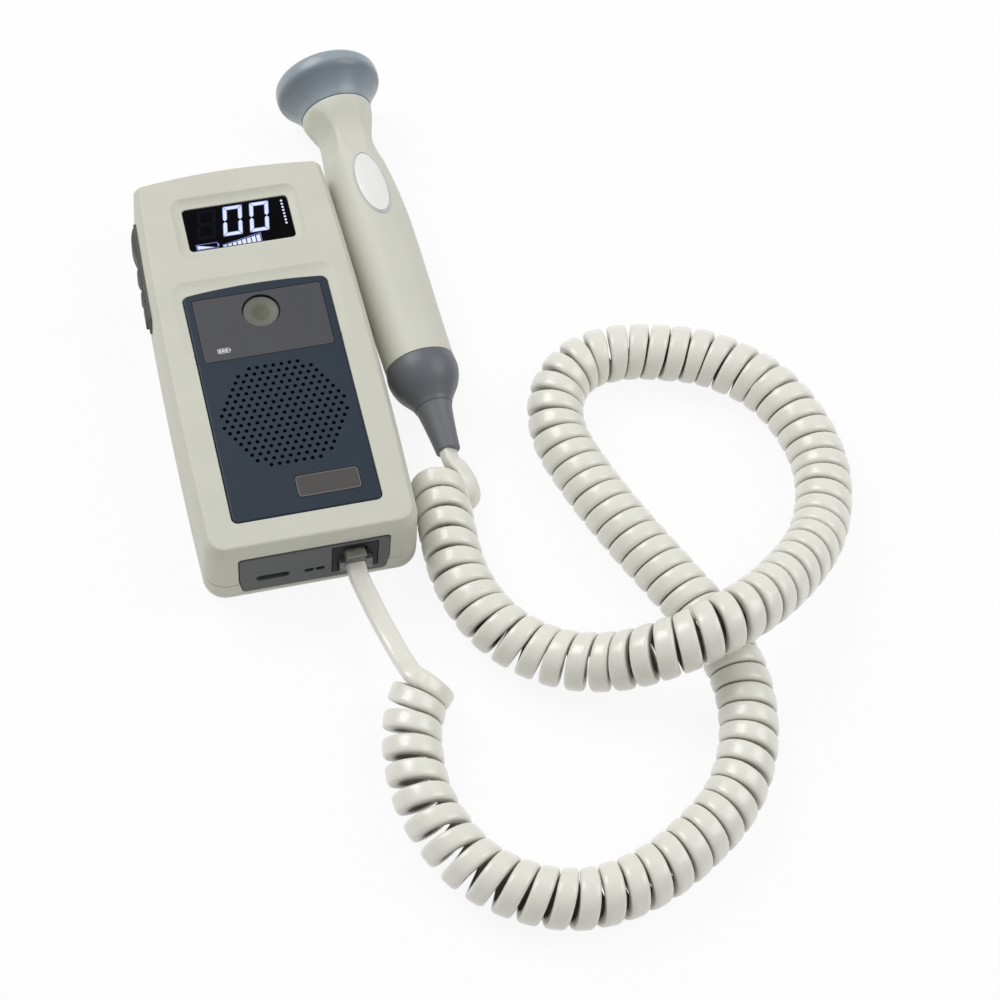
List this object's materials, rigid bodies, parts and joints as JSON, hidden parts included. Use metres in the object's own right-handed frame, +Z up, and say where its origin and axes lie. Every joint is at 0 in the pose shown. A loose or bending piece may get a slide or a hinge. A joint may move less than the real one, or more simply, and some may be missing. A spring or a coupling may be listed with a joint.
{
  "type": "fetal doppler monitor",
  "caption": "Hand-held monitor box with display, speaker grille, round button and side keys, and a round-headed probe on a curly cord that plugs into its lower end.",
  "frame": {"origin": "on the ground under the middle of the monitor box and its probe together, leaving out the plug and the cord", "axes": "+Z up out of the display side, +Y along the box towards its display end, +X towards the probe beside it"},
  "size_m": [0.2392, 0.3567, 0.042],
  "materials": {
    "ivory": "fine satin texture",
    "navy": "fine grained matt",
    "overlay": "satin film",
    "olive": "satin",
    "key_rubber": "matt rubber",
    "end_grey": "fine satin texture",
    "black": "semi-gloss",
    "screen": "gloss",
    "circuit": "solder mask",
    "steel": "zinc plated",
    "gold": "bright plated",
    "paper": "matt pressed paper",
    "battery": "shrink film",
    "clear": "clear moulded plastic",
    "cord": "semi-gloss jacket",
    "head_blue": "satin",
    "boot_grey": "satin",
    "boot_rubber": "satin rubber",
    "ceramic": "fired ceramic",
    "label": "satin film"
  },
  "bodies": {
    "base": {"front_cover": "ivory", "rear_cover": "ivory", "rear_screw_1": "steel", "rear_screw_2": "steel", "rear_screw_3": "steel", "rear_screw_4": "steel", "end_panel": "end_grey", "fascia_plate": "navy", "control_overlay": "overlay", "badge_plate": "overlay", "display_window": "screen", "display_module": "black", "display_board": "circuit", "power_switch": "black", "speaker_frame": "steel", "speaker_cone": "paper", "speaker_magnet": "steel", "main_board": "circuit", "battery_pack": "battery", "jack_housing": "black", "jack_contacts": "gold", "charge_port": "black", "side_key_strip": "key_rubber", "key_board": "circuit"},
    "power_button": {"power_button": "olive"},
    "side_key_upper": {"side_key_upper": "key_rubber"},
    "side_key_middle": {"side_key_middle": "key_rubber"},
    "side_key_lower": {"side_key_lower": "key_rubber"},
    "lead": {"plug_body": "clear", "plug_contacts": "gold", "cord_plug_stretch": "cord", "cord_coil": "cord", "cord_probe_stretch": "cord"},
    "plug_latch": {"plug_latch": "clear"},
    "probe": {"probe_barrel": "ivory", "probe_head": "head_blue", "probe_face": "head_blue", "crystal_transmit": "ceramic", "crystal_receive": "ceramic", "backing_disc": "black", "probe_board": "circuit", "probe_boot": "boot_grey", "strain_relief": "boot_rubber", "probe_label": "label"}
  },
  "joints": [
    {"name": "power_button_press", "type": "slide", "parent": "base", "child": "power_button", "axis": [0, 0, -1], "range_m": [0, 0.0008], "stiffness_N_per_m": 1200, "springref_m": -0.0004},
    {"name": "side_key_upper_press", "type": "slide", "parent": "base", "child": "side_key_upper", "axis": [0.9994, -0.036, 0], "range_m": [0, 0.0008], "stiffness_N_per_m": 1000, "springref_m": -0.0004},
    {"name": "side_key_middle_press", "type": "slide", "parent": "base", "child": "side_key_middle", "axis": [0.9994, -0.036, 0], "range_m": [0, 0.0008], "stiffness_N_per_m": 1000, "springref_m": -0.0004},
    {"name": "side_key_lower_press", "type": "slide", "parent": "base", "child": "side_key_lower", "axis": [0.9994, -0.036, 0], "range_m": [0, 0.0008], "stiffness_N_per_m": 1000, "springref_m": -0.0004},
    {"name": "plug_slide", "type": "slide", "parent": "base", "child": "lead", "axis": [0, -1, 0], "range_m": [0, 0.016]},
    {"name": "plug_latch_flex", "type": "hinge", "parent": "lead", "child": "plug_latch", "pos_m": [-0.0001, -0.09516, 0.02035], "axis": [1, 0, 0], "range_deg": [0, 7], "stiffness_Nm_per_rad": 0.05, "springref_deg": -1.15},
    {"name": "probe_lift", "type": "slide", "parent": "base", "child": "probe", "axis": [0, 0, 1], "range_m": [0, 0.04]}
  ]
}
